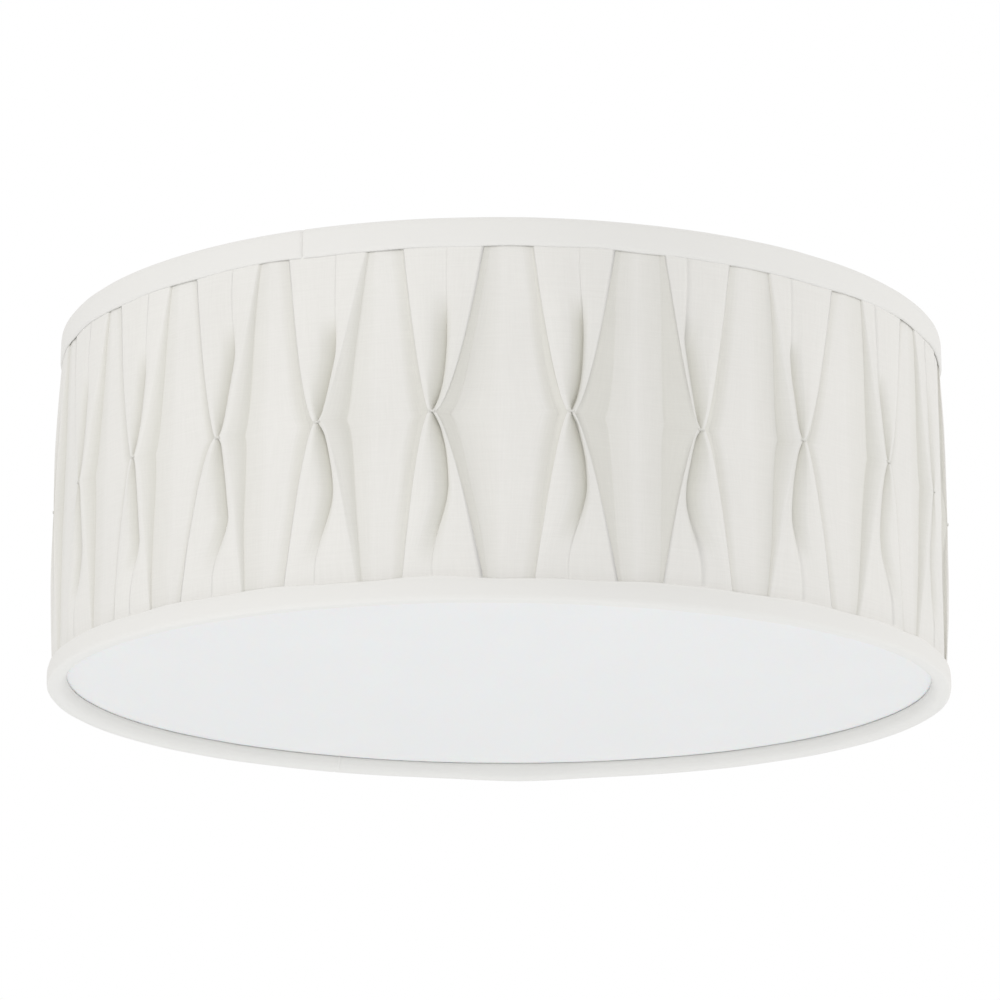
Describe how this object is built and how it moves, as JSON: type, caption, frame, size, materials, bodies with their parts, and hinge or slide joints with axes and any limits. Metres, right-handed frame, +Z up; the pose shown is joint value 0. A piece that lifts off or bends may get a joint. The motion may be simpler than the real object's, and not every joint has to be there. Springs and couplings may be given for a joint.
{
  "type": "flush mount ceiling light",
  "caption": "Flush mount ceiling light with a round drum shade of pinch-pleated linen, fabric tape trims and a recessed white diffuser disc.",
  "frame": {"origin": "centre of the outlet box screw pattern, in the ceiling plane", "axes": "+Z up into the ceiling, light hangs below; X along the mounting strap; -Y is the side the picture shows"},
  "size_m": [0.4059, 0.406, 0.166],
  "materials": {
    "linen": "off-white linen, plain weave, pinch pleated",
    "bias_tape": "off-white linen bias tape",
    "thread": "off-white sewing thread",
    "styrene": "white styrene liner",
    "ring_wire": "white epoxy coated wire",
    "arm_steel": "white powder coat",
    "diffuser_acrylic": "opal acrylic, satin",
    "pan_paint": "white baked enamel",
    "zinc": "zinc plated steel",
    "nut_plate": "nickel plated, satin",
    "thumb_plate": "white powder coat, knurled",
    "ground_green": "green dyed zinc",
    "glass_wool": "glass fibre heat pad",
    "bushing_nylon": "white nylon",
    "phenolic": "white phenolic, moulded",
    "shell_brass": "drawn brass",
    "contact_brass": "spring brass",
    "rivet_alloy": "plain",
    "cap_alloy": "drawn, satin",
    "frosted_glass": "inside frosted"
  },
  "bodies": {
    "fixture": {"ceiling_pan": "pan_paint", "mounting_strap": "zinc", "pan_screws": "zinc", "cap_nuts": "nut_plate", "ground_screw": "ground_green", "heat_pad": "glass_wool", "wire_bushings": "bushing_nylon", "screw_bosses": "zinc", "bracket_rivets": "rivet_alloy", "holder_screws": "zinc", "socket_bracket_1": "zinc", "lampholder_1": "phenolic", "screw_shell_1": "shell_brass", "centre_contact_1": "contact_brass", "socket_bracket_2": "zinc", "lampholder_2": "phenolic", "screw_shell_2": "shell_brass", "centre_contact_2": "contact_brass", "socket_bracket_3": "zinc", "lampholder_3": "phenolic", "screw_shell_3": "shell_brass", "centre_contact_3": "contact_brass"},
    "shade": {"top_ring": "ring_wire", "bottom_ring": "ring_wire", "shade_arm_1": "arm_steel", "shade_arm_2": "arm_steel", "shade_arm_3": "arm_steel", "shade_liner": "styrene", "pleated_cover": "linen", "pleat_tacks": "thread", "top_trim": "bias_tape", "bottom_trim": "bias_tape"},
    "diffuser": {"diffuser": "diffuser_acrylic"},
    "bulb_1": {"bulb_cap_1": "cap_alloy", "bulb_glass_1": "frosted_glass"},
    "bulb_2": {"bulb_cap_2": "cap_alloy", "bulb_glass_2": "frosted_glass"},
    "bulb_3": {"bulb_cap_3": "cap_alloy", "bulb_glass_3": "frosted_glass"},
    "thumb_screw_1": {"thumb_screw_1": "thumb_plate"},
    "thumb_screw_2": {"thumb_screw_2": "thumb_plate"},
    "thumb_screw_3": {"thumb_screw_3": "thumb_plate"}
  },
  "joints": [
    {"name": "shade_drop", "type": "slide", "parent": "fixture", "child": "shade", "axis": [0, 0, -1], "range_m": [0, 0.2]},
    {"name": "diffuser_lift", "type": "slide", "parent": "shade", "child": "diffuser", "axis": [0, 0, 1], "range_m": [0, 0.06]},
    {"name": "bulb_1_turn", "type": "hinge", "parent": "fixture", "child": "bulb_1", "pos_m": [0, 0.06, -0.06], "axis": [0, 1, 0], "continuous": true},
    {"name": "bulb_2_turn", "type": "hinge", "parent": "fixture", "child": "bulb_2", "pos_m": [-0.05196, -0.03, -0.06], "axis": [-0.866, -0.5, 0], "continuous": true},
    {"name": "bulb_3_turn", "type": "hinge", "parent": "fixture", "child": "bulb_3", "pos_m": [0.05196, -0.03, -0.06], "axis": [0.866, -0.5, 0], "continuous": true},
    {"name": "thumb_screw_1_turn", "type": "hinge", "parent": "shade", "child": "thumb_screw_1", "pos_m": [-0.10739, 0.062, -0.027], "axis": [0, 0, 1], "continuous": true},
    {"name": "thumb_screw_2_turn", "type": "hinge", "parent": "shade", "child": "thumb_screw_2", "pos_m": [0, -0.124, -0.027], "axis": [0, 0, 1], "continuous": true},
    {"name": "thumb_screw_3_turn", "type": "hinge", "parent": "shade", "child": "thumb_screw_3", "pos_m": [0.10739, 0.062, -0.027], "axis": [0, 0, 1], "continuous": true}
  ]
}
